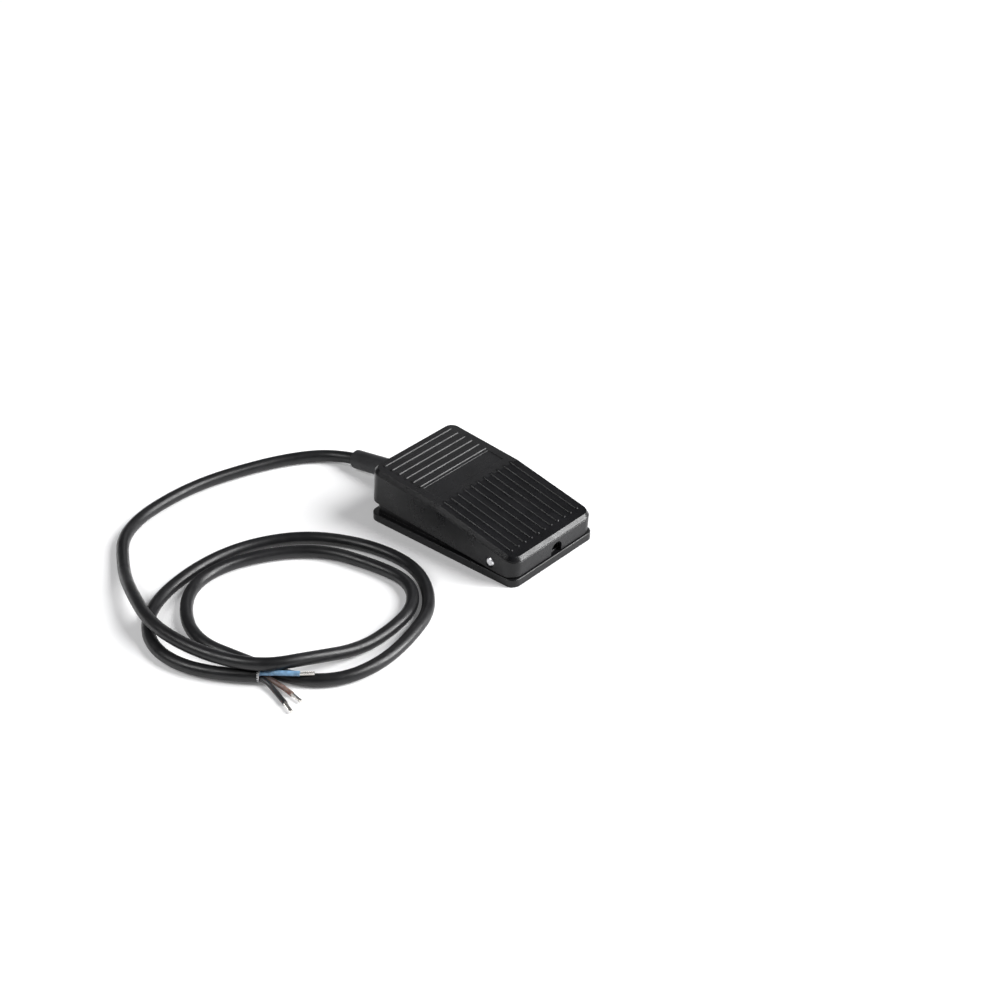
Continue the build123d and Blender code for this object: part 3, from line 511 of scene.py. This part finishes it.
leadPieces = [cadNodes["strain_relief"], cutRim]
for colour in ("blue", "black", "brown"):
    points = [Vector(point) / 1000 for point in cores[colour]["points"]]
    coreName = "looseCore_" + colour
    coreSlot = "insulation_" + colour
    coreCurve = smoothCurve(
        coreName, points, cores["diameter"] / 2, cores["roundness"], cores["steps"]
    )
    core = addPiece(coreName, coreCurve, materials[coreSlot])
    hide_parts("free_core_" + colour)
    strandName = "bareStrands_" + colour
    strandMesh = buildStrands(strandName, points[-1], Vector(cores[colour]["tip"]) / 1000)
    strands = addPiece(strandName, strandMesh, materials["tinned_copper"])
    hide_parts("free_strands_" + colour)
    leadPieces += [core, strands]

print("lead's end made")

# the return spring inside, its end turns closed
coil = {
    "foot": (0.0, 0.010, 0.0046),
    "height": 0.02058,
    "radius": 0.00355,
    "wire": 0.0009,
    "turns": 6,
    "closedTurns": 1,
    "turnSteps": 28,
    "facets": 12,
    "front": (0.0, 0.006, 0.0046),
    "lean": 17.7,  # degrees the squash leans, so the top end follows the pedal's post backwards
    "pressed": 0.80,
}


def buildSpring():
    build = bmesh.new()
    bmesh.ops.create_circle(
        build, cap_ends=True, radius=coil["wire"] / 2, segments=coil["facets"]
    )
    bmesh.ops.rotate(build, cent=(0, 0, 0), matrix=upright, verts=build.verts)
    bmesh.ops.translate(build, vec=(coil["radius"], 0, coil["wire"] / 2), verts=build.verts)
    closed = (coil["closedTurns"], coil["wire"])
    sprung = (coil["turns"], coil["height"] - 3 * coil["wire"])
    section = build.faces[:] + build.edges[:] + build.verts[:]
    for turns, climb in (closed, sprung, closed):
        steps = turns * coil["turnSteps"]
        spun = bmesh.ops.spin(
            build, geom=section, cent=(0, 0, 0), axis=(0, 0, 1),
            dvec=(0, 0, climb / steps), angle=math.tau * turns, steps=steps,
        )
        section = spun["geom_last"]
    bmesh.ops.translate(build, vec=coil["foot"], verts=build.verts)
    return finishMesh("springCoil", build)


springCoil = addPiece("springCoil", buildSpring(), materials["spring_steel"])
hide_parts("return_spring")
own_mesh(springCoil)
print("spring wound")

# the studio: a pale floor, a dim sky, a soft sun and three lamps
floorSetup = {
    "size": 4.0,
    "colour": (0.90, 0.90, 0.905),
    "rough": 0.9,
    "lift": 0.12,  # seen by the camera and in reflections only
}
skySetup = {
    "low": (0.22, 0.22, 0.23),
    "high": (0.03, 0.03, 0.032),
    "lowUpTo": 0.10,
    "highFrom": 0.42,
}
sunSetup = {"from": (0.46, -0.62, 0.64), "strength": 3.9, "spread": 36.0}
lampAim = (-0.03, 0.01, 0.0)
lamps = [
    {"name": "keyLamp", "place": (0.66, -0.76, 0.28), "size": 0.38, "power": 12.0},
    {"name": "rearLamp", "place": (0.80, 0.60, 0.56), "size": 0.45, "power": 0.5},
    {"name": "sideLamp", "place": (-0.72, 0.36, 0.78), "size": 0.42, "power": 5.0},
]


def greater(tree, first, second):
    node = tree.nodes.new("ShaderNodeMath")
    node.operation = "MAXIMUM"
    tree.links.new(first, node.inputs[0])
    tree.links.new(second, node.inputs[1])
    return node.outputs[0]


def buildFloor():
    build = bmesh.new()
    bmesh.ops.create_grid(build, x_segments=1, y_segments=1, size=floorSetup["size"] / 2)
    floorMesh = bpy.data.meshes.new("floor")
    build.to_mesh(floorMesh)
    build.free()
    material, tree, shader = newMaterial(
        "floorPaper", floorSetup["colour"], floorSetup["rough"], specular=0.0
    )
    ray = tree.nodes.new("ShaderNodeLightPath").outputs
    seen = greater(tree, ray["Is Camera Ray"], ray["Is Glossy Ray"])
    seen = greater(tree, seen, ray["Is Transmission Ray"])
    lift = tree.nodes.new("ShaderNodeMath")
    lift.operation = "MULTIPLY"
    lift.inputs[1].default_value = floorSetup["lift"]
    tree.links.new(seen, lift.inputs[0])
    tree.links.new(lift.outputs[0], shader.inputs["Emission Strength"])
    shader.inputs["Emission Color"].default_value = (1.0, 1.0, 1.0, 1.0)
    floor = bpy.data.objects.new("floor", floorMesh)
    scene.collection.objects.link(floor)
    floor.data.materials.append(material)


def buildSky():
    world = bpy.data.worlds.new("studioSky")
    scene.world = world
    world.use_nodes = True
    tree = world.node_tree
    background = tree.nodes["Background"]
    where = tree.nodes.new("ShaderNodeTexCoord")
    split = tree.nodes.new("ShaderNodeSeparateXYZ")
    ramp = tree.nodes.new("ShaderNodeValToRGB")
    ramp.color_ramp.elements[0].position = skySetup["lowUpTo"]
    ramp.color_ramp.elements[0].color = (*skySetup["low"], 1.0)
    ramp.color_ramp.elements[1].position = skySetup["highFrom"]
    ramp.color_ramp.elements[1].color = (*skySetup["high"], 1.0)
    tree.links.new(where.outputs["Generated"], split.inputs["Vector"])
    tree.links.new(split.outputs["Z"], ramp.inputs["Fac"])
    tree.links.new(ramp.outputs["Color"], background.inputs["Color"])


def addLamp(settings):
    lampData = bpy.data.lights.new(settings["name"], "AREA")
    lampData.shape = "SQUARE"
    lampData.size = settings["size"]
    lampData.energy = settings["power"]
    lamp = bpy.data.objects.new(settings["name"], lampData)
    lamp.location = settings["place"]
    toAim = Vector(lampAim) - Vector(settings["place"])
    lamp.rotation_mode = "QUATERNION"
    lamp.rotation_quaternion = toAim.to_track_quat("-Z", "Y")
    scene.collection.objects.link(lamp)


def addSun(settings):
    sunData = bpy.data.lights.new("softSun", "SUN")
    sunData.energy = settings["strength"]
    sunData.angle = math.radians(settings["spread"])
    sun = bpy.data.objects.new("softSun", sunData)
    sun.rotation_mode = "QUATERNION"
    sun.rotation_quaternion = Vector(settings["from"]).to_track_quat("Z", "Y")
    scene.collection.objects.link(sun)


buildFloor()
buildSky()
addSun(sunSetup)
for lampSettings in lamps:
    addLamp(lampSettings)
print("studio lit")
